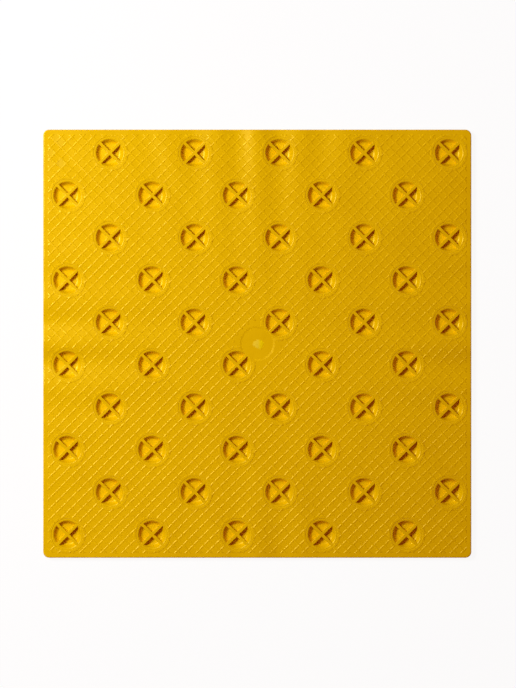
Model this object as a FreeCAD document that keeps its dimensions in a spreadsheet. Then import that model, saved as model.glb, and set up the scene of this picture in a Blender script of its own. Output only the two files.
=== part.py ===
"""Tactile paving tile: one square moulding with staggered hollow studs.

Units are millimetres. The tile lies with its bonding face up, as it comes off the stack for gluing:
z = 0 is the plane of the stud tops, and the bonding face is the highest plane. X and Y run along the
sides, and the origin is under the middle of the square.
"""
import FreeCAD, Part
import Sketcher
import math
import os

doc = FreeCAD.newDocument("TactileTile")

# Driving dimensions
sizes = doc.addObject("Spreadsheet::Sheet", "Sizes")
DRIVING = [
    ("slab_side", 500, "side of the square tile"),
    ("corner_radius", 7, "round of the four corners, seen from above"),
    ("plate_thickness", 3, "plate between the studs"),
    ("edge_bevel", 1.5, "bevel round the walking face"),
    ("stud_spacing", 70, "centre to centre along the diagonal rows"),
    ("stud_field_offset", 1, "shift of the stud field from the middle, along X"),
    ("stud_height", 5, "stud above the walking face"),
    ("stud_top_diameter", 25, "flat top of a stud"),
    ("stud_base_diameter", 35, "foot of a stud on the walking face"),
    ("stud_wall", 2.5, "wall of a hollow stud at its top"),
    ("flank_wall", 2.4, "wall of its flank at the floor of the hollow, measured level"),
    ("hollow_mouth_diameter", 32.1, "mouth of the hollow at the bonding face"),
    ("rib_width", 3.6, "each of the two crossed ribs in a hollow"),
    ("sprue_recess_diameter", 41, "shallow round recess at the injection point"),
    ("sprue_recess_depth", 0.4, "depth of that recess"),
]
for row, (alias, value, meaning) in enumerate(DRIVING, start=1):
    sizes.set(f"A{row}", meaning)
    sizes.set(f"B{row}", str(value))
    sizes.setAlias(f"B{row}", alias)
doc.recompute()

# Lengths that follow from the driving ones
TOTAL_HEIGHT = "(Sizes.stud_height + Sizes.plate_thickness)"
FLANK_SPREAD = "(Sizes.stud_base_diameter - Sizes.stud_top_diameter) * Sizes.stud_wall / Sizes.stud_height"
HOLLOW_FLOOR_DIAMETER = f"(Sizes.stud_top_diameter + {FLANK_SPREAD} - 2 * Sizes.flank_wall)"

# A stud and its hollow repeat fifty times, so their round flanks are made of this many flat sides
STUD_SIDES = 20


def new_body(name):
    """An empty body at the origin."""
    body = doc.addObject("PartDesign::Body", name)
    body.Label = name
    body.Placement = FreeCAD.Placement()
    return body


def origin_feature(body, role):
    """The origin plane or axis of a body that has this role."""
    return next(item for item in body.Origin.OriginFeatures if item.Role == role)


def level_profile(body, name, level, corners):
    """A level sketch of one closed polygon at a height, each corner bound to two expressions."""
    sketch = body.newObject("Sketcher::SketchObject", name)
    sketch.AttachmentSupport = [(origin_feature(body, "XY_Plane"), "")]
    sketch.MapMode = "FlatFace"
    sketch.setExpression("AttachmentOffset.Base.z", level)
    points = []
    for across, up in corners:
        points.append(FreeCAD.Vector(sizes.evalExpression(across), sizes.evalExpression(up), 0))
    for index, point in enumerate(points):
        following = points[(index + 1) % len(points)]
        sketch.addGeometry(Part.LineSegment(point, following), False)
    for index in range(len(points)):
        sketch.addConstraint(Sketcher.Constraint("Coincident", index, 2, (index + 1) % len(points), 1))
    for index, (across, up) in enumerate(corners):
        for kind, value, expression in (
            ("DistanceX", points[index].x, across),
            ("DistanceY", points[index].y, up),
        ):
            number = sketch.addConstraint(Sketcher.Constraint(kind, -1, 1, index, 1, value))
            sketch.setExpression(f"Constraints[{number}]", expression)
    return sketch


def ring(body, name, level, diameter):
    """A level sketch of a many-sided ring round the origin."""
    corners = []
    for number in range(STUD_SIDES):
        turn = f"{number * 360 / STUD_SIDES} deg"
        corners.append((f"{diameter} / 2 * cos({turn})", f"{diameter} / 2 * sin({turn})"))
    return level_profile(body, name, level, corners)


def taper(body, name, wide_ring, narrow_ring):
    """A straight taper between two rings."""
    feature = body.newObject("PartDesign::AdditiveLoft", name)
    feature.Profile = wide_ring
    feature.Sections = [(narrow_ring, [""])]
    feature.Ruled = True
    doc.recompute()
    return feature


# The plate: a square with round corners and a bevel round the walking face
plate = new_body("plate")
half_side = "Sizes.slab_side / 2"
square = level_profile(plate, "PlateOutline", "Sizes.stud_height", [
    (f"-{half_side}", f"-{half_side}"),
    (half_side, f"-{half_side}"),
    (half_side, half_side),
    (f"-{half_side}", half_side),
])
slab = plate.newObject("PartDesign::Pad", "Slab")
slab.Profile = square
slab.setExpression("Length", "Sizes.plate_thickness")
doc.recompute()

upright_edges = []
for number, edge in enumerate(slab.Shape.Edges, start=1):
    if abs(edge.tangentAt(edge.FirstParameter).z) > 0.5:
        upright_edges.append(f"Edge{number}")
corners = plate.newObject("PartDesign::Fillet", "Corners")
corners.Base = (slab, upright_edges)
corners.setExpression("Radius", "Sizes.corner_radius")
doc.recompute()

walking_level = sizes.stud_height
walking_edges = []
for number, edge in enumerate(corners.Shape.Edges, start=1):
    if abs(edge.BoundBox.ZMax - walking_level) < 1e-6:
        walking_edges.append(f"Edge{number}")
bevel = plate.newObject("PartDesign::Chamfer", "WalkingFaceBevel")
bevel.Base = (corners, walking_edges)
bevel.setExpression("Size", "Sizes.edge_bevel")
doc.recompute()

# The shallow recess round the injection point, in the middle of the bonding face
recess_outline = plate.newObject("Sketcher::SketchObject", "SprueRecessOutline")
recess_outline.AttachmentSupport = [(origin_feature(plate, "XY_Plane"), "")]
recess_outline.MapMode = "FlatFace"
recess_outline.setExpression("AttachmentOffset.Base.z", TOTAL_HEIGHT)
middle = FreeCAD.Vector()
recess_outline.addGeometry(Part.Circle(middle, FreeCAD.Vector(0, 0, 1), sizes.sprue_recess_diameter / 2))
recess_outline.addConstraint(Sketcher.Constraint("Coincident", 0, 3, -1, 1))
bore = recess_outline.addConstraint(Sketcher.Constraint("Diameter", 0, sizes.sprue_recess_diameter))
recess_outline.setExpression(f"Constraints[{bore}]", "Sizes.sprue_recess_diameter")
recess = plate.newObject("PartDesign::Pocket", "SprueRecess")
recess.Profile = recess_outline
recess.setExpression("Length", "Sizes.sprue_recess_depth")
doc.recompute()

# One stud: a taper under the plate
stud = new_body("stud")
stud_base = ring(stud, "StudBase", "Sizes.stud_height", "Sizes.stud_base_diameter")
stud_top = ring(stud, "StudTop", "0", "Sizes.stud_top_diameter")
taper(stud, "StudTaper", stud_base, stud_top)

# The pin of the mould that leaves a stud's hollow, slotted along both diagonals for the crossed ribs
core_pin = new_body("core_pin")
core_pin.AllowCompound = True
mouth = ring(core_pin, "HollowMouth", TOTAL_HEIGHT, "Sizes.hollow_mouth_diameter")
floor = ring(core_pin, "HollowFloor", "Sizes.stud_wall", HOLLOW_FLOOR_DIAMETER)
taper(core_pin, "PinTaper", mouth, floor)
rib_reach = "Sizes.hollow_mouth_diameter"
for name, turn in (("RisingRibSlot", 45), ("FallingRibSlot", -45)):
    slot_outline = level_profile(core_pin, f"{name}Outline", TOTAL_HEIGHT, [
        (f"-{rib_reach}", "-Sizes.rib_width / 2"),
        (rib_reach, "-Sizes.rib_width / 2"),
        (rib_reach, "Sizes.rib_width / 2"),
        (f"-{rib_reach}", "Sizes.rib_width / 2"),
    ])
    slot_outline.setExpression("AttachmentOffset.Rotation.Angle", f"{turn} deg")
    slot = core_pin.newObject("PartDesign::Pocket", name)
    slot.Profile = slot_outline
    slot.Type = "ThroughAll"
    doc.recompute()

# The tile: studs and hollows at every second place of a square grid, so that they stand in diagonal rows
stud_pitch = sizes.stud_spacing / math.sqrt(2)
places_in_row = 2 * math.floor(sizes.slab_side / (2 * stud_pitch))
first_place = -(places_in_row - 1) / 2 * stud_pitch
places = []
for column in range(places_in_row):
    for row in range(places_in_row):
        if (column + row) % 2 == 0:
            across = first_place + column * stud_pitch + sizes.stud_field_offset
            places.append(FreeCAD.Vector(across, first_place + row * stud_pitch, 0))
studded = plate.Shape.fuse([stud.Shape.translated(place) for place in places])
tile = doc.addObject("Part::Feature", "tactile_tile")
tile.Label = "tactile_tile"
tile.Shape = studded.cut([core_pin.Shape.translated(place) for place in places])
tile.Placement = FreeCAD.Placement()

# The finished tile is tested and written
for item in doc.Objects:
    if "Invalid" in item.State or "Error" in item.State:
        raise RuntimeError(f"{item.Label} did not build: {item.State}")
if tile.Shape.isNull() or not tile.Shape.isValid():
    raise RuntimeError("the tile's shape is not valid")
if len(tile.Shape.Solids) != 1:
    raise RuntimeError("the tile is not one solid")
if recess.Shape.Volume >= bevel.Shape.Volume:
    raise RuntimeError("the sprue recess cut nothing")
if len(core_pin.Shape.Solids) != 4:
    raise RuntimeError("the ribs' slots don't quarter the core pin")
os.makedirs("parts", exist_ok=True)
tile.Shape.exportStep(f"parts/{tile.Label}.step")
print(f"volume {tile.Shape.Volume / 1000:.1f} cm3, box {tile.Shape.BoundBox}")
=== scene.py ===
import math

import bmesh
import bpy
import numpy as np
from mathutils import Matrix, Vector


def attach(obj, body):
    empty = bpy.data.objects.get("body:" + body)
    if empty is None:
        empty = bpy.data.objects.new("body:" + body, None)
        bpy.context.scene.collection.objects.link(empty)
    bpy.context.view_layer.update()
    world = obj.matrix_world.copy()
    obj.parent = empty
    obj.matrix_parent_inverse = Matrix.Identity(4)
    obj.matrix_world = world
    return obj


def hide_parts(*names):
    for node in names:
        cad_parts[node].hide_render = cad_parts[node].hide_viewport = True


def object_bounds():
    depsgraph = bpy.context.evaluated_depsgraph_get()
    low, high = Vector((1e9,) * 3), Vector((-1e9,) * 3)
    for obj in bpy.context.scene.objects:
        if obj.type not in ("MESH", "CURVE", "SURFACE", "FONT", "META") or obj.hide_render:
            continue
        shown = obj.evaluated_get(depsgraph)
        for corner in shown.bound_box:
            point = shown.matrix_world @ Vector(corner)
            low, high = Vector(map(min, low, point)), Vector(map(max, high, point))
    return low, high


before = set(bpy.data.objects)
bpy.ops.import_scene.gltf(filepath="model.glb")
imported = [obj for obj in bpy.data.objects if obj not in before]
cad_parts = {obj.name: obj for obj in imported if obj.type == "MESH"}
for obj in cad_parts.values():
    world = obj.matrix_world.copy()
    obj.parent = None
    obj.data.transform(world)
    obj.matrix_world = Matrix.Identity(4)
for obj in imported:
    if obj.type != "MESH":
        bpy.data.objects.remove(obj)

cad_low, cad_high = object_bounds()

# The plate
# The tile is one injection moulding in flexible yellow polyurethane, lying with its bonding face up.
# Its flat plate has round corners, a bevel round the walking face below and a rounded edge above.
MM = 0.001
SLAB_SIDE = cad_high[0] - cad_low[0]
BONDING_LEVEL = cad_high[2]
STUD_HEIGHT = 5 * MM
CORNER_RADIUS = 7 * MM
CORNER_STEPS = 8
WALKING_BEVEL = 1.5 * MM
EDGE_ROUND = 1.4 * MM
EDGE_STEPS = 4


def rounded_square(half, radius, height):
    """Points of a square with round corners at one height, counter-clockwise."""
    points = []
    for corner in range(4):
        centre_x = (half - radius) * (1 if corner in (0, 3) else -1)
        centre_y = (half - radius) * (1 if corner in (0, 1) else -1)
        for step in range(CORNER_STEPS + 1):
            angle = (corner + step / CORNER_STEPS) * math.pi / 2
            points.append((
                centre_x + radius * math.cos(angle), centre_y + radius * math.sin(angle), height
            ))
    return points


def solid_from_rings(name, rings, looped=False):
    """A closed solid skinned over rings of points; a looped one joins its last ring to its first."""
    skin = bmesh.new()
    loops = [[skin.verts.new(point) for point in ring] for ring in rings]
    pairs = list(zip(loops, loops[1:]))
    if looped:
        pairs.append((loops[-1], loops[0]))
    else:
        skin.faces.new(loops[0])
        skin.faces.new(loops[-1])
    for lower, upper in pairs:
        for index in range(len(lower)):
            following = (index + 1) % len(lower)
            skin.faces.new((lower[index], lower[following], upper[following], upper[index]))
    bmesh.ops.recalc_face_normals(skin, faces=skin.faces)
    mesh = bpy.data.meshes.new(name)
    skin.to_mesh(mesh)
    skin.free()
    solid = bpy.data.objects.new(name, mesh)
    bpy.context.scene.collection.objects.link(solid)
    return solid


plate_section = [(WALKING_BEVEL, STUD_HEIGHT), (0, STUD_HEIGHT + WALKING_BEVEL)]
for step in range(EDGE_STEPS + 1):
    angle = step / EDGE_STEPS * math.pi / 2
    plate_section.append((
        EDGE_ROUND * (1 - math.cos(angle)),
        BONDING_LEVEL - EDGE_ROUND * (1 - math.sin(angle)),
    ))
plate_rings = []
for inset, height in plate_section:
    plate_rings.append(rounded_square(SLAB_SIDE / 2 - inset, CORNER_RADIUS - inset, height))
plate = solid_from_rings("plate", plate_rings)

# The studs and the core pins of their hollows
# Each stud is a truncated cone with a softened top edge. A core pin of the mould leaves the hollow behind
# it: a cone one wall inside the stud, with a rounded floor edge and a rounded lip at the bonding face.
STUD_TOP_RADIUS = 12.5 * MM
STUD_BASE_RADIUS = 17.5 * MM
STUD_WALL = 2.5 * MM
STUD_EDGE_ROUND = 1.2 * MM
FLOOR_ROUND = 4.0 * MM
LIP_ROUND = 2.0 * MM
LIP_STEPS = 4
PIN_OVERSHOOT = 0.05 * MM
ROOT = 0.5 * MM
AROUND = 48
ARC_STEPS = 3
HOLLOW_FLOOR_RADIUS = 12.6 * MM
HOLLOW_MOUTH_RADIUS = 16.05 * MM


def turned(name, section, looped=False):
    """A solid turned about Z from a section of (radius, height) points."""
    rings = []
    for radius, height in section:
        ring = []
        for step in range(AROUND):
            angle = 2 * math.pi * step / AROUND
            ring.append((radius * math.cos(angle), radius * math.sin(angle), height))
        rings.append(ring)
    return solid_from_rings(name, rings, looped)


def rounded_foot(corner_radius, level, slope_angle, rounding, steps):
    """Section points of the round between a flat at a level and the flank that rises outward from it."""
    centre = corner_radius - rounding * math.tan(slope_angle / 2)
    points = []
    for step in range(steps + 1):
        angle = slope_angle * step / steps
        points.append((centre + rounding * math.sin(angle), level + rounding * (1 - math.cos(angle))))
    return points


flank_angle = math.atan2(STUD_HEIGHT, STUD_BASE_RADIUS - STUD_TOP_RADIUS)
stud_section = rounded_foot(STUD_TOP_RADIUS, 0, flank_angle, STUD_EDGE_ROUND, ARC_STEPS)
stud_section.append((STUD_BASE_RADIUS, STUD_HEIGHT))
stud_section.append((STUD_BASE_RADIUS, STUD_HEIGHT + ROOT))
stud = turned("stud", stud_section)

wall_angle = math.atan2(BONDING_LEVEL - STUD_WALL, HOLLOW_MOUTH_RADIUS - HOLLOW_FLOOR_RADIUS)
pin_section = rounded_foot(HOLLOW_FLOOR_RADIUS, STUD_WALL, wall_angle, FLOOR_ROUND, 2 * ARC_STEPS)
lip_centre = HOLLOW_MOUTH_RADIUS + LIP_ROUND * math.tan(wall_angle / 2)
for step in range(LIP_STEPS):
    angle = wall_angle * (1 - step / LIP_STEPS)
    drop = LIP_ROUND * (1 - math.cos(angle))
    pin_section.append((lip_centre - LIP_ROUND * math.sin(angle), BONDING_LEVEL - drop))
last_slope = math.tan(wall_angle / LIP_STEPS)
last_radius, last_height = pin_section[-1]
top_height = BONDING_LEVEL + PIN_OVERSHOOT
pin_section.append((last_radius + (top_height - last_height) / last_slope, top_height))
core_pin = turned("core_pin", pin_section)

# The crossed ribs
# Two ribs stiffen each hollow along the tile's diagonals. The pins are slotted for them, so they come out
# level with the bonding face, with a little draft on their sides and softened top edges.
RIB_WIDTH = 3.6 * MM
RIB_DRAFT = 0.25 * MM
RIB_EDGE_ROUND = 0.45 * MM
RIB_SET_BACK = 0.02 * MM
RIB_OVERRUN = 3 * MM
DIAGONAL = math.pi / 4
rib_reach = STUD_BASE_RADIUS + RIB_OVERRUN
rib_top = BONDING_LEVEL - RIB_SET_BACK
rib_half = RIB_WIDTH / 2
rib_side = [(rib_half + RIB_DRAFT, STUD_WALL - ROOT)]
for step in range(ARC_STEPS + 1):
    angle = step / ARC_STEPS * math.pi / 2
    rib_side.append((
        rib_half - RIB_EDGE_ROUND * (1 - math.cos(angle)),
        rib_top - RIB_EDGE_ROUND * (1 - math.sin(angle)),
    ))
rib_outline = rib_side + [(-across, height) for across, height in reversed(rib_side)]
rib_ends = (-rib_reach, rib_reach)
rib = solid_from_rings("rib", [[(end, *point) for point in rib_outline] for end in rib_ends])

# The glue hatch
# Low ridges cross the bonding face along both diagonals to key the adhesive. They stop at a plain margin,
# at a broader and lower ring that circles each hollow, and clear of the injection point.
RIDGE_PITCH = 8.75 * MM
RIDGE_WIDTH = 2.1 * MM
FALLING_RIDGE_WIDTH = 2.5 * MM
RIDGE_FLAT = 0.5 * MM
RIDGE_HEIGHT = 0.45 * MM
RIDGE_ROOT = 0.3 * MM
RIDGE_END_SLOPE = 1.7
HATCH_SIDE = 489 * MM
HATCH_BOUNDS_RISE = 2 * MM
CIRCLE_RADIUS = 20.2 * MM
CIRCLE_RIDGE_WIDTH = 3.2 * MM
CIRCLE_RIDGE_FLAT = 2.3 * MM
CIRCLE_RIDGE_HEIGHT = 0.34 * MM
CLEAR_DISC_DEPTH = 8 * MM


def ridge_outline(width, flat, height):
    """Section of a flat-topped ridge, rooted a little below the bonding face."""
    foot = width / 2 + (width - flat) / 2 * RIDGE_ROOT / height
    return [(-foot, -RIDGE_ROOT), (foot, -RIDGE_ROOT), (flat / 2, height), (-flat / 2, height)]


ridge_reach = HATCH_SIDE / math.sqrt(2) + RIDGE_PITCH
ridge_ends = (-ridge_reach, ridge_reach)
rising_section = ridge_outline(RIDGE_WIDTH, RIDGE_FLAT, RIDGE_HEIGHT)
rising_ridge = solid_from_rings(
    "rising_ridge", [[(end, *point) for point in rising_section] for end in ridge_ends]
)
falling_section = ridge_outline(FALLING_RIDGE_WIDTH, RIDGE_FLAT, RIDGE_HEIGHT)
falling_ridge = solid_from_rings(
    "falling_ridge", [[(end, *point) for point in falling_section] for end in ridge_ends]
)
circle_section = []
for across, height in ridge_outline(CIRCLE_RIDGE_WIDTH, CIRCLE_RIDGE_FLAT, CIRCLE_RIDGE_HEIGHT):
    circle_section.append((CIRCLE_RADIUS + across, BONDING_LEVEL + height))
circle_ridge = turned("circle_ridge", circle_section, looped=True)
bounds_rings = []
for rise in (-HATCH_BOUNDS_RISE, HATCH_BOUNDS_RISE):
    inset = RIDGE_END_SLOPE * rise
    bounds_rings.append(
        rounded_square(HATCH_SIDE / 2 - inset, CORNER_RADIUS - inset, BONDING_LEVEL + rise)
    )
hatch_bounds = solid_from_rings("hatch_bounds", bounds_rings)
ridges_each_side = math.floor(HATCH_SIDE / math.sqrt(2) / RIDGE_PITCH)

# The recess at the injection point
# A shallow disc keeps what is left of the sprue below the bonding face: a low stub, twisted off by hand,
# with a torn and slanting top. The face round it has no hatch, for longer along the rising ridges.
SPRUE_RADIUS = 20.5 * MM
SPRUE_DEPTH = 0.4 * MM
SPRUE_CLEAR_RADIUS = 24.5 * MM
SPRUE_CLEAR_STRETCH = 1.35
SPRUE_RIM = 2.2 * MM
sprue_recess = turned("sprue_recess", [
    (SPRUE_RADIUS - SPRUE_RIM, BONDING_LEVEL - SPRUE_DEPTH),
    (SPRUE_RADIUS, BONDING_LEVEL),
    (SPRUE_RADIUS + SPRUE_RIM, BONDING_LEVEL + SPRUE_DEPTH),
])
STUB_PLACE = (1.3 * MM, -0.7 * MM)
STUB_REACH = 7.0 * MM
STUB_HEIGHT = 0.3 * MM
STUB_SQUASH = 0.86
STUB_TWIST = 0.35
STUB_SLANT = 0.5
STUB_SLANT_STEP = 2.3
STUB_WANDER = (0.98, 0.84, 0.90, 1.06, 0.96, 0.80, 0.88, 1.10, 0.86)
STUB_ROOT_SPREAD = 1.10
STUB_SPREADS_AND_RISES = ((1.0, 0.0), (0.72, 0.75), (0.30, 1.0))
stub_rings = []
for spread, share in ((STUB_ROOT_SPREAD, None), *STUB_SPREADS_AND_RISES):
    stub_ring = []
    for corner, wander in enumerate(STUB_WANDER):
        angle = 2 * math.pi * corner / len(STUB_WANDER) + STUB_TWIST * spread
        reach = STUB_REACH * spread * wander
        if share is None:
            rise = -SPRUE_DEPTH - ROOT
        else:
            rise = STUB_HEIGHT * share * (1 + STUB_SLANT * math.cos(STUB_SLANT_STEP * corner))
        stub_ring.append((
            STUB_PLACE[0] + reach * math.cos(angle),
            STUB_PLACE[1] + STUB_SQUASH * reach * math.sin(angle),
            BONDING_LEVEL - SPRUE_DEPTH + rise,
        ))
    stub_rings.append(stub_ring)
sprue_stub = solid_from_rings("sprue_stub", stub_rings)

# The polyurethane
# Satin moulded polyurethane, pigmented through: a soft broad highlight, faint mottling, shallow dimples and
# a grain from the eroded mould, drawn coarser than it is. The thin plate has warped, which shows as ripples
# at its sides and streaks from the middle. The torn stub is paler, and its right side is painted lighter to
# lift the shade on its slope away from the lamp. Some hatch cells at one corner carry a painted sheen: pale
# glints painted into their colour.
YELLOWS = ("E3BC00", "EBC600")
MOTTLE_SIZE = 45 * MM
ROUGHNESS = (0.25, 0.33)
GLINT_TINT = "FFE068"
GRAIN_SIZE = 0.9 * MM
GRAIN_DEPTH = 0.05 * MM
GRAIN_STRENGTH = 0.15
DIMPLE_SIZE = 14 * MM
DIMPLE_HEIGHT = 0.4 * MM
RIPPLE_LENGTH = 51 * MM
RIPPLE_HEIGHT = 1.1 * MM
RIPPLE_CENTRE = (20 * MM, -45 * MM)
RIPPLE_SPREAD = 60 * MM
RIPPLE_SHARES = (1.0, 1.7, 0.0)
FLOW_LINES = 5.0
FLOW_SHARE = 2.0
# Painted sheen: a few hatch cells near one corner are painted paler, as glints of the lamp.
SHEEN_CELL = "F6E650"
SHEEN_CORNER = (-230 * MM, 216 * MM, BONDING_LEVEL)
SHEEN_REACH = (17 * MM, 34 * MM, 1.5 * MM)
SHEEN_SHARE = 0.16
SHEEN_FADE = (1.0, 0.5)
SHEEN_DRAWS = (0.55, 0.95)
# Tones of the torn stub: its paler torn skin, and on its right side a tone painted lighter to lift the
# shade on its slope away from the lamp.
TORN_AND_SHADE_LIFT_TONES = ("EFD630", "F2DA00")
SHADE_LIFT_TURN = (0.35, 0.85)
TEAR_EDGE = (1.5, 1.25)
TEAR_DEPTH = 1.5 * MM
TEAR_SIZE = 4 * MM


def linear(hex_colour):
    """Linear RGBA of an sRGB hex colour."""
    channels = []
    for start in (0, 2, 4):
        value = int(hex_colour[start:start + 2], 16) / 255
        channels.append(value / 12.92 if value <= 0.04045 else ((value + 0.055) / 1.055) ** 2.4)
    return (*channels, 1.0)


def add_node(tree, kind, inputs=(), **settings):
    """Adds a node with its settings; each input takes a value, a socket or a list of sockets."""
    node = tree.nodes.new(kind)
    for name, value in settings.items():
        setattr(node, name, value)
    for key, value in dict(inputs).items():
        for item in value if isinstance(value, list) else [value]:
            if isinstance(item, bpy.types.NodeSocket):
                tree.links.new(item, node.inputs[key])
            else:
                node.inputs[key].default_value = item
    return node


polyurethane = bpy.data.materials.new("satin_moulded_polyurethane")
polyurethane.use_nodes = True
paint = polyurethane.node_tree
paint.nodes.clear()
place = add_node(paint, "ShaderNodeTexCoord").outputs["Object"]
mottle = add_node(paint, "ShaderNodeTexNoise", {
    "Vector": place, "Scale": 1 / MOTTLE_SIZE, "Detail": 3.0, "Roughness": 0.5,
})
tone = add_node(paint, "ShaderNodeMix", {
    "Factor": mottle.outputs["Fac"], 6: linear(YELLOWS[0]), 7: linear(YELLOWS[1]),
}, data_type="RGBA")

# Painted sheen: hatch cells picked at random near one corner are mixed towards a pale tone, as painted
# glints.
cell_frame = add_node(paint, "ShaderNodeMapping", {
    "Vector": place, "Rotation": (0, 0, DIAGONAL), "Scale": (1 / RIDGE_PITCH, 1 / RIDGE_PITCH, 0),
})
cell = add_node(paint, "ShaderNodeVectorMath", {0: cell_frame.outputs["Vector"]}, operation="FLOOR")
draw = add_node(paint, "ShaderNodeTexWhiteNoise", {
    "Vector": cell.outputs["Vector"],
}, noise_dimensions="3D")
sheen_cells = add_node(paint, "ShaderNodeMapRange", {
    "Value": draw.outputs["Value"], "From Min": SHEEN_DRAWS[0], "From Max": SHEEN_DRAWS[1],
})
to_sheen_corner = add_node(paint, "ShaderNodeMapping", {
    "Vector": place, "Location": SHEEN_CORNER, "Scale": SHEEN_REACH,
}, vector_type="TEXTURE")
sheen_corner_distance = add_node(paint, "ShaderNodeVectorMath", {
    0: to_sheen_corner.outputs["Vector"],
}, operation="LENGTH")
sheen_nearness = add_node(paint, "ShaderNodeMapRange", {
    "Value": sheen_corner_distance.outputs["Value"],
    "From Min": SHEEN_FADE[0],
    "From Max": SHEEN_FADE[1],
    "To Max": SHEEN_SHARE,
})
painted_sheen = add_node(paint, "ShaderNodeMath", {
    0: sheen_cells.outputs["Result"], 1: sheen_nearness.outputs["Result"],
}, operation="MULTIPLY")
sheened_tone = add_node(paint, "ShaderNodeMix", {
    "Factor": painted_sheen.outputs[0], 6: tone.outputs[2], 7: linear(SHEEN_CELL),
}, data_type="RGBA")

tear = add_node(paint, "ShaderNodeTexNoise", {
    "Vector": place, "Scale": 1 / TEAR_SIZE, "Detail": 3.0, "Roughness": 0.6,
})
from_stub = add_node(paint, "ShaderNodeMapping", {
    "Vector": place,
    "Location": (*STUB_PLACE, BONDING_LEVEL - SPRUE_DEPTH),
    "Scale": (STUB_REACH, STUB_SQUASH * STUB_REACH, TEAR_DEPTH),
}, vector_type="TEXTURE").outputs["Vector"]
stub_distance = add_node(paint, "ShaderNodeVectorMath", {0: from_stub}, operation="LENGTH")
ragged = add_node(paint, "ShaderNodeMath", {0: stub_distance.outputs["Value"], 1: tear.outputs["Fac"]})
torn = add_node(paint, "ShaderNodeMapRange", {
    "Value": ragged.outputs[0], "From Min": TEAR_EDGE[0], "From Max": TEAR_EDGE[1],
}, interpolation_type="SMOOTHSTEP")
# The right side of the stub is painted lighter, partly its own tone and partly painted light that lifts its
# shade.
across_stub = add_node(paint, "ShaderNodeSeparateXYZ", {"Vector": from_stub})
patched = add_node(paint, "ShaderNodeMath", {0: across_stub.outputs["X"], 1: tear.outputs["Fac"]})
shade_lifted_side = add_node(paint, "ShaderNodeMapRange", {
    "Value": patched.outputs[0], "From Min": SHADE_LIFT_TURN[0], "From Max": SHADE_LIFT_TURN[1],
})
torn_shade_lifted_tone = add_node(paint, "ShaderNodeMix", {
    "Factor": shade_lifted_side.outputs["Result"], 6: linear(TORN_AND_SHADE_LIFT_TONES[0]), 7: linear(TORN_AND_SHADE_LIFT_TONES[1]),
}, data_type="RGBA")
skin_tone = add_node(paint, "ShaderNodeMix", {
    "Factor": torn.outputs["Result"], 6: sheened_tone.outputs[2], 7: torn_shade_lifted_tone.outputs[2],
}, data_type="RGBA")

ripple_phase = add_node(paint, "ShaderNodeVectorMath", {
    0: place, "Scale": 2 * math.pi / RIPPLE_LENGTH,
}, operation="SCALE")
crests = add_node(paint, "ShaderNodeVectorMath", {0: ripple_phase.outputs["Vector"]}, operation="COSINE")
aside = add_node(paint, "ShaderNodeVectorMath", {
    0: place, "Scale": 1 / RIPPLE_SPREAD,
}, operation="SCALE")
falloff = add_node(paint, "ShaderNodeVectorMath", {
    0: aside.outputs["Vector"], 1: aside.outputs["Vector"], 2: (1, 1, 1),
}, operation="MULTIPLY_ADD")
outward = add_node(paint, "ShaderNodeMapping", {
    "Vector": place,
    "Location": (2 * RIPPLE_CENTRE[1] / SLAB_SIDE, -2 * RIPPLE_CENTRE[0] / SLAB_SIDE, 0),
    "Rotation": (0, 0, math.pi / 2),
    "Scale": (2 / SLAB_SIDE, 2 / SLAB_SIDE, 1),
}).outputs["Vector"]
growth = add_node(paint, "ShaderNodeVectorMath", {0: outward, 1: outward}, operation="MULTIPLY")
grown = add_node(paint, "ShaderNodeVectorMath", {
    0: crests.outputs["Vector"], 1: growth.outputs["Vector"],
}, operation="MULTIPLY")
faded = add_node(paint, "ShaderNodeVectorMath", {
    0: grown.outputs["Vector"], 1: falloff.outputs["Vector"],
}, operation="DIVIDE")
ripples = add_node(paint, "ShaderNodeVectorMath", {
    0: faded.outputs["Vector"], 1: RIPPLE_SHARES,
}, operation="DOT_PRODUCT")

flat_place = add_node(paint, "ShaderNodeVectorMath", {0: place, 1: (1, 1, 0)}, operation="MULTIPLY")
heading = add_node(paint, "ShaderNodeVectorMath", {0: flat_place.outputs["Vector"]}, operation="NORMALIZE")
flow = add_node(paint, "ShaderNodeTexNoise", {
    "Vector": heading.outputs["Vector"], "Scale": FLOW_LINES, "Detail": 1.0, "Roughness": 0.5,
})
far_out = add_node(paint, "ShaderNodeVectorMath", {0: outward, 1: outward}, operation="DOT_PRODUCT")
streaks = add_node(paint, "ShaderNodeMath", {
    0: flow.outputs["Fac"], 1: far_out.outputs["Value"],
}, operation="MULTIPLY")
warp = add_node(paint, "ShaderNodeMath", {
    0: streaks.outputs[0], 1: FLOW_SHARE, 2: ripples.outputs["Value"],
}, operation="MULTIPLY_ADD")
wavy = add_node(paint, "ShaderNodeBump", {
    "Height": warp.outputs[0], "Strength": 1.0, "Distance": RIPPLE_HEIGHT,
})
dimples = add_node(paint, "ShaderNodeTexNoise", {
    "Vector": place, "Scale": 1 / DIMPLE_SIZE, "Detail": 1.0, "Roughness": 0.5,
})
dimpled = add_node(paint, "ShaderNodeBump", {
    "Height": dimples.outputs["Fac"], "Strength": 1.0, "Distance": DIMPLE_HEIGHT,
    "Normal": wavy.outputs["Normal"],
})
grain = add_node(paint, "ShaderNodeTexNoise", {
    "Vector": place, "Scale": 1 / GRAIN_SIZE, "Detail": 2.0, "Roughness": 0.6,
})
relief = add_node(paint, "ShaderNodeBump", {
    "Height": grain.outputs["Fac"], "Strength": GRAIN_STRENGTH, "Distance": GRAIN_DEPTH,
    "Normal": dimpled.outputs["Normal"],
})
gloss = add_node(paint, "ShaderNodeMapRange", {
    "Value": mottle.outputs["Fac"], "To Min": ROUGHNESS[0], "To Max": ROUGHNESS[1],
})
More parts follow.
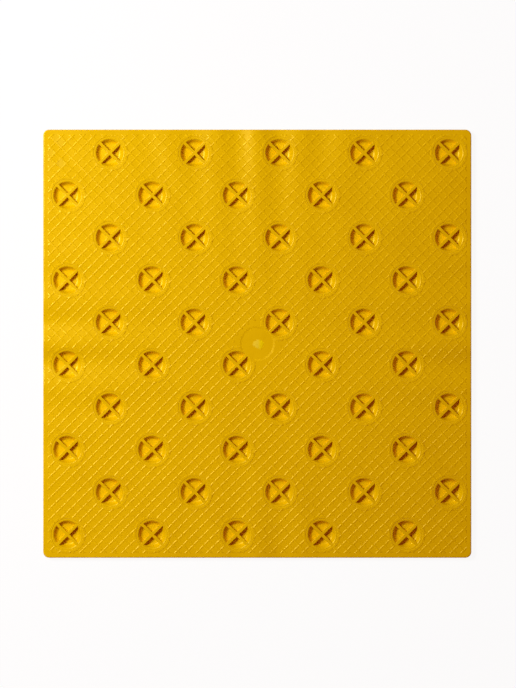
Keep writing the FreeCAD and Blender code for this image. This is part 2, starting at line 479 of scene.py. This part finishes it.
skin = add_node(paint, "ShaderNodeBsdfPrincipled", {
    "Base Color": skin_tone.outputs[2],
    "Roughness": gloss.outputs["Result"],
    "IOR": 1.5,
    "Specular IOR Level": 0.5,
    "Specular Tint": linear(GLINT_TINT),
    "Normal": relief.outputs["Normal"],
})
add_node(paint, "ShaderNodeOutputMaterial", {"Surface": skin.outputs["BSDF"]})

# The moulding
# The studs, their hollows and the rings round them fill every second place of a square grid, which sits a
# little off the middle of the tile. The mould's cavity and pins give all of it at once, as one solid.
PLACES = 10
STUD_SPACING = 70 * MM
STUD_FIELD_SHIFT = 1.0 * MM
LEVEL_COSINE = 0.9999
RIDGE_CLEARANCE = 0.001 * MM
CREASE_ANGLE = math.radians(31)
stud_pitch = STUD_SPACING / math.sqrt(2)

moulding = bpy.data.node_groups.new("tile_moulding", "GeometryNodeTree")
moulding.interface.new_socket("Plate", in_out="INPUT", socket_type="NodeSocketGeometry")
moulding.interface.new_socket("Tile", in_out="OUTPUT", socket_type="NodeSocketGeometry")
shapes = {
    "Stud": stud,
    "Core pin": core_pin,
    "Rib": rib,
    "Rising ridge": rising_ridge,
    "Falling ridge": falling_ridge,
    "Circle ridge": circle_ridge,
    "Hatch bounds": hatch_bounds,
    "Sprue recess": sprue_recess,
    "Sprue stub": sprue_stub,
}
tile_inputs = {}
for name, kind, value in (
    *((name, "Object", shape) for name, shape in shapes.items()),
    ("Places along a side", "Int", PLACES),
    ("Grid side", "Float", (PLACES - 1) * stud_pitch),
    ("Stud field shift", "Vector", (STUD_FIELD_SHIFT, 0, 0)),
    ("Circle radius", "Float", CIRCLE_RADIUS),
    ("Clear disc depth", "Float", CLEAR_DISC_DEPTH),
    ("Sides of a disc", "Int", AROUND),
    ("Ridges", "Int", 2 * ridges_each_side + 1),
    ("First ridge", "Vector", (0, -ridges_each_side * RIDGE_PITCH, BONDING_LEVEL)),
    ("Ridge step", "Vector", (0, RIDGE_PITCH, 0)),
    ("Hatch level", "Vector", (0, 0, BONDING_LEVEL)),
    ("Sprue clear radius", "Float", SPRUE_CLEAR_RADIUS),
    ("Sprue clear stretch", "Vector", (SPRUE_CLEAR_STRETCH, 1.0, 1.0)),
    ("Finish", "Material", polyurethane),
):
    socket = moulding.interface.new_socket(name, in_out="INPUT", socket_type=f"NodeSocket{kind}")
    tile_inputs[socket.identifier] = value
given = moulding.nodes.new("NodeGroupInput").outputs
forms = {}
for name in shapes:
    forms[name] = add_node(moulding, "GeometryNodeObjectInfo", {"Object": given[name]}).outputs["Geometry"]

grid = add_node(moulding, "GeometryNodeMeshGrid", {
    "Size X": given["Grid side"],
    "Size Y": given["Grid side"],
    "Vertices X": given["Places along a side"],
    "Vertices Y": given["Places along a side"],
})
index = add_node(moulding, "GeometryNodeInputIndex").outputs["Index"]
in_row = given["Places along a side"]
column = add_node(moulding, "ShaderNodeMath", {0: index, 1: in_row}, operation="DIVIDE")
whole_column = add_node(moulding, "ShaderNodeMath", {0: column.outputs[0]}, operation="FLOOR")
row = add_node(moulding, "ShaderNodeMath", {0: index, 1: in_row}, operation="MODULO")
step_sum = add_node(moulding, "ShaderNodeMath", {0: whole_column.outputs[0], 1: row.outputs[0]})
parity = add_node(moulding, "ShaderNodeMath", {0: step_sum.outputs[0], 1: 2.0}, operation="MODULO")
stagger = add_node(moulding, "GeometryNodeDeleteGeometry", {
    "Geometry": grid.outputs["Mesh"], "Selection": parity.outputs[0],
})
stud_places = add_node(moulding, "GeometryNodeTransform", {
    "Geometry": stagger.outputs["Geometry"], "Translation": given["Stud field shift"],
})

crossed_ribs = []
for turn in (DIAGONAL, -DIAGONAL):
    turned_rib = add_node(moulding, "GeometryNodeTransform", {
        "Geometry": forms["Rib"], "Rotation": (0, 0, turn),
    })
    crossed_ribs.append(turned_rib.outputs["Geometry"])
slotted_pin = add_node(moulding, "GeometryNodeMeshBoolean", {
    "Mesh 1": forms["Core pin"], "Mesh 2": crossed_ribs,
}, operation="DIFFERENCE", solver="MANIFOLD")

clear_disc = add_node(moulding, "GeometryNodeMeshCylinder", {
    "Vertices": given["Sides of a disc"],
    "Radius": given["Circle radius"],
    "Depth": given["Clear disc depth"],
})
at_studs = {}
for name, repeated in (
    ("studs", forms["Stud"]),
    ("pins", slotted_pin.outputs["Mesh"]),
    ("rings", forms["Circle ridge"]),
    ("clear discs", clear_disc.outputs["Mesh"]),
):
    copies = add_node(moulding, "GeometryNodeInstanceOnPoints", {
        "Points": stud_places.outputs["Geometry"], "Instance": repeated,
    })
    real = add_node(moulding, "GeometryNodeRealizeInstances", {"Geometry": copies.outputs["Instances"]})
    at_studs[name] = real.outputs["Geometry"]

ridge_line = add_node(moulding, "GeometryNodeMeshLine", {
    "Count": given["Ridges"], "Start Location": given["First ridge"], "Offset": given["Ridge step"],
})
crossed_ridges = []
for name, turn in (("Rising ridge", DIAGONAL), ("Falling ridge", -DIAGONAL)):
    ridges = add_node(moulding, "GeometryNodeInstanceOnPoints", {
        "Points": ridge_line.outputs["Mesh"], "Instance": forms[name],
    })
    real = add_node(moulding, "GeometryNodeRealizeInstances", {"Geometry": ridges.outputs["Instances"]})
    turned_ridges = add_node(moulding, "GeometryNodeTransform", {
        "Geometry": real.outputs["Geometry"], "Rotation": (0, 0, turn),
    })
    crossed_ridges.append(turned_ridges.outputs["Geometry"])
full_hatch = add_node(moulding, "GeometryNodeMeshBoolean", {
    "Mesh 2": crossed_ridges,
}, operation="UNION", solver="MANIFOLD")

middle_disc = add_node(moulding, "GeometryNodeMeshCylinder", {
    "Vertices": given["Sides of a disc"],
    "Radius": given["Sprue clear radius"],
    "Depth": given["Clear disc depth"],
})
stretched_disc = add_node(moulding, "GeometryNodeTransform", {
    "Geometry": middle_disc.outputs["Mesh"],
    "Rotation": (0, 0, DIAGONAL),
    "Scale": given["Sprue clear stretch"],
})
cleared = []
for discs in (at_studs["clear discs"], stretched_disc.outputs["Geometry"]):
    lifted = add_node(moulding, "GeometryNodeTransform", {
        "Geometry": discs, "Translation": given["Hatch level"],
    })
    cleared.append(lifted.outputs["Geometry"])
hatch_room = add_node(moulding, "GeometryNodeMeshBoolean", {
    "Mesh 1": forms["Hatch bounds"], "Mesh 2": cleared,
}, operation="DIFFERENCE", solver="MANIFOLD")
hatch = add_node(moulding, "GeometryNodeMeshBoolean", {
    "Mesh 2": [full_hatch.outputs["Mesh"], hatch_room.outputs["Mesh"]],
}, operation="INTERSECT", solver="MANIFOLD")

solid = add_node(moulding, "GeometryNodeMeshBoolean", {
    "Mesh 2": [given["Plate"], at_studs["studs"], hatch.outputs["Mesh"], at_studs["rings"]],
}, operation="UNION", solver="MANIFOLD")
hollowed = add_node(moulding, "GeometryNodeMeshBoolean", {
    "Mesh 1": solid.outputs["Mesh"], "Mesh 2": [at_studs["pins"], forms["Sprue recess"]],
}, operation="DIFFERENCE", solver="MANIFOLD")
trimmed = add_node(moulding, "GeometryNodeMeshBoolean", {
    "Mesh 2": [hollowed.outputs["Mesh"], forms["Sprue stub"]],
}, operation="UNION", solver="MANIFOLD")
whole = add_node(moulding, "GeometryNodeRealizeInstances", {"Geometry": trimmed.outputs["Mesh"]})
finished = add_node(moulding, "GeometryNodeSetMaterial", {
    "Geometry": whole.outputs["Geometry"], "Material": given["Finish"],
})
add_node(moulding, "NodeGroupOutput", {"Tile": finished.outputs["Geometry"]})

press = plate.modifiers.new("moulding", "NODES")
press.node_group = moulding
for identifier, value in tile_inputs.items():
    press[identifier] = value
pressed = plate.evaluated_get(bpy.context.evaluated_depsgraph_get())
tile_mesh = bpy.data.meshes.new_from_object(pressed)
tile_mesh.name = "tactile_tile_moulding"
tile = bpy.data.objects.new("tactile_tile_moulding", tile_mesh)
bpy.context.scene.collection.objects.link(tile)
for shape in (plate, *shapes.values()):
    bpy.data.objects.remove(shape)

# Level faces are shaded flat, so that they don't take up the lean of the rounds beside them. The ridges'
# tops are shaded together with their flanks, which makes them soft.
face_normals = np.empty(len(tile_mesh.polygons) * 3)
tile_mesh.polygons.foreach_get("normal", face_normals)
face_normals = face_normals.reshape(-1, 3)
face_middles = np.empty(len(tile_mesh.polygons) * 3)
tile_mesh.polygons.foreach_get("center", face_middles)
face_middles = face_middles.reshape(-1, 3)
level = np.abs(face_normals[:, 2]) > LEVEL_COSINE
on_ridge = face_middles[:, 2] > BONDING_LEVEL + RIDGE_CLEARANCE
tile_mesh.set_sharp_from_angle(angle=CREASE_ANGLE)
tile_mesh.polygons.foreach_set("use_smooth", ~level | on_ridge)
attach(tile, "root")
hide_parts("tactile_tile")

# The floor, the light and the camera
# A white floor, one large soft lamp high on the left and a white backdrop stand in for the studio. The
# faint light of the surround is warm, and overhead the backdrop gives way to a darker ceiling.
WHITE = linear("FFFFFF")
FLOOR_SIDE = 6.0
FLOOR_CLEARANCE = 0.1 * MM
FLOOR_SHADOW_SHARE = 0.08
bpy.ops.mesh.primitive_plane_add(size=FLOOR_SIDE, location=(0, 0, -FLOOR_CLEARANCE))
floor = bpy.context.object
floor.name = "floor"
floor_paint = bpy.data.materials.new("white_floor")
floor_paint.use_nodes = True
ground = floor_paint.node_tree
ground.nodes.clear()
matt = add_node(ground, "ShaderNodeBsdfDiffuse", {"Color": WHITE})
glow = add_node(ground, "ShaderNodeEmission", {"Color": WHITE, "Strength": 1.0})
rays = add_node(ground, "ShaderNodeLightPath")
reflected = add_node(ground, "ShaderNodeMath", {
    0: rays.outputs["Is Glossy Ray"], 1: rays.outputs["Is Transmission Ray"],
}, operation="MAXIMUM")
seen = add_node(ground, "ShaderNodeMath", {
    0: rays.outputs["Is Camera Ray"], 1: reflected.outputs[0],
}, operation="MAXIMUM")
share = add_node(ground, "ShaderNodeMath", {
    0: seen.outputs[0], 1: 1 - FLOOR_SHADOW_SHARE,
}, operation="MULTIPLY")
blend = add_node(ground, "ShaderNodeMixShader", {
    0: share.outputs[0], 1: matt.outputs["BSDF"], 2: glow.outputs["Emission"],
})
add_node(ground, "ShaderNodeOutputMaterial", {"Surface": blend.outputs["Shader"]})
floor.data.materials.append(floor_paint)

BOUNCE_COLOUR = "FF6820"
BOUNCE_LEVEL = 0.20
BACKDROP_FADE = (0.20, 0.45)
OVERHEAD_SHARE = 0.20
world = bpy.data.worlds.new("pale_surround")
world.use_nodes = True
air = world.node_tree
air.nodes.clear()
bounce = add_node(air, "ShaderNodeBackground", {
    "Color": linear(BOUNCE_COLOUR), "Strength": BOUNCE_LEVEL,
})
backdrop = add_node(air, "ShaderNodeBackground", {"Color": WHITE, "Strength": 1.0})
sight = add_node(air, "ShaderNodeLightPath")
direction = add_node(air, "ShaderNodeTexCoord").outputs["Generated"]
upward = add_node(air, "ShaderNodeSeparateXYZ", {"Vector": direction}).outputs["Z"]
white_share = add_node(air, "ShaderNodeMapRange", {
    "Value": upward,
    "From Min": BACKDROP_FADE[0],
    "From Max": BACKDROP_FADE[1],
    "To Min": 1.0,
    "To Max": OVERHEAD_SHARE,
})
reflecting = add_node(air, "ShaderNodeMath", {
    0: sight.outputs["Is Glossy Ray"], 1: sight.outputs["Is Transmission Ray"],
}, operation="MAXIMUM")
mirrored = add_node(air, "ShaderNodeMath", {
    0: reflecting.outputs[0], 1: white_share.outputs["Result"],
}, operation="MULTIPLY")
looked_at = add_node(air, "ShaderNodeMath", {
    0: sight.outputs["Is Camera Ray"], 1: mirrored.outputs[0],
}, operation="MAXIMUM")
surround = add_node(air, "ShaderNodeMixShader", {
    0: looked_at.outputs[0], 1: bounce.outputs["Background"], 2: backdrop.outputs["Background"],
})
add_node(air, "ShaderNodeOutputWorld", {"Surface": surround.outputs["Shader"]})
bpy.context.scene.world = world

KEY_PLACE = (-1.15, 0.60, 1.53)
KEY_AIM = (-0.90, 0.40, 0.0)
KEY_SIZE = 0.75
KEY_POWER = 41.2
lamp = bpy.data.lights.new("key_lamp", "AREA")
lamp.shape = "DISK"
lamp.size = KEY_SIZE
lamp.energy = KEY_POWER
key = bpy.data.objects.new("key_lamp", lamp)
key.location = KEY_PLACE
key.rotation_euler = (Vector(KEY_AIM) - key.location).to_track_quat("-Z", "Y").to_euler()
bpy.context.scene.collection.objects.link(key)

PHOTO_WIDTH_PX = 516
PHOTO_HEIGHT_PX = 688
SLAB_CENTRE_PX = (257.25, 343.67)
SLAB_SIDE_PX = 428.4
CAMERA_DISTANCE = 2.5
metres_per_px = SLAB_SIDE / SLAB_SIDE_PX
camera_data = bpy.data.cameras.new("camera")
camera_data.lens = camera_data.sensor_width * CAMERA_DISTANCE / (PHOTO_HEIGHT_PX * metres_per_px)
camera = bpy.data.objects.new("camera", camera_data)
camera.location = (
    (PHOTO_WIDTH_PX / 2 - SLAB_CENTRE_PX[0]) * metres_per_px,
    (SLAB_CENTRE_PX[1] - PHOTO_HEIGHT_PX / 2) * metres_per_px,
    BONDING_LEVEL + CAMERA_DISTANCE,
)
bpy.context.scene.collection.objects.link(camera)
bpy.context.scene.camera = camera
bpy.context.scene.view_settings.view_transform = "Standard"
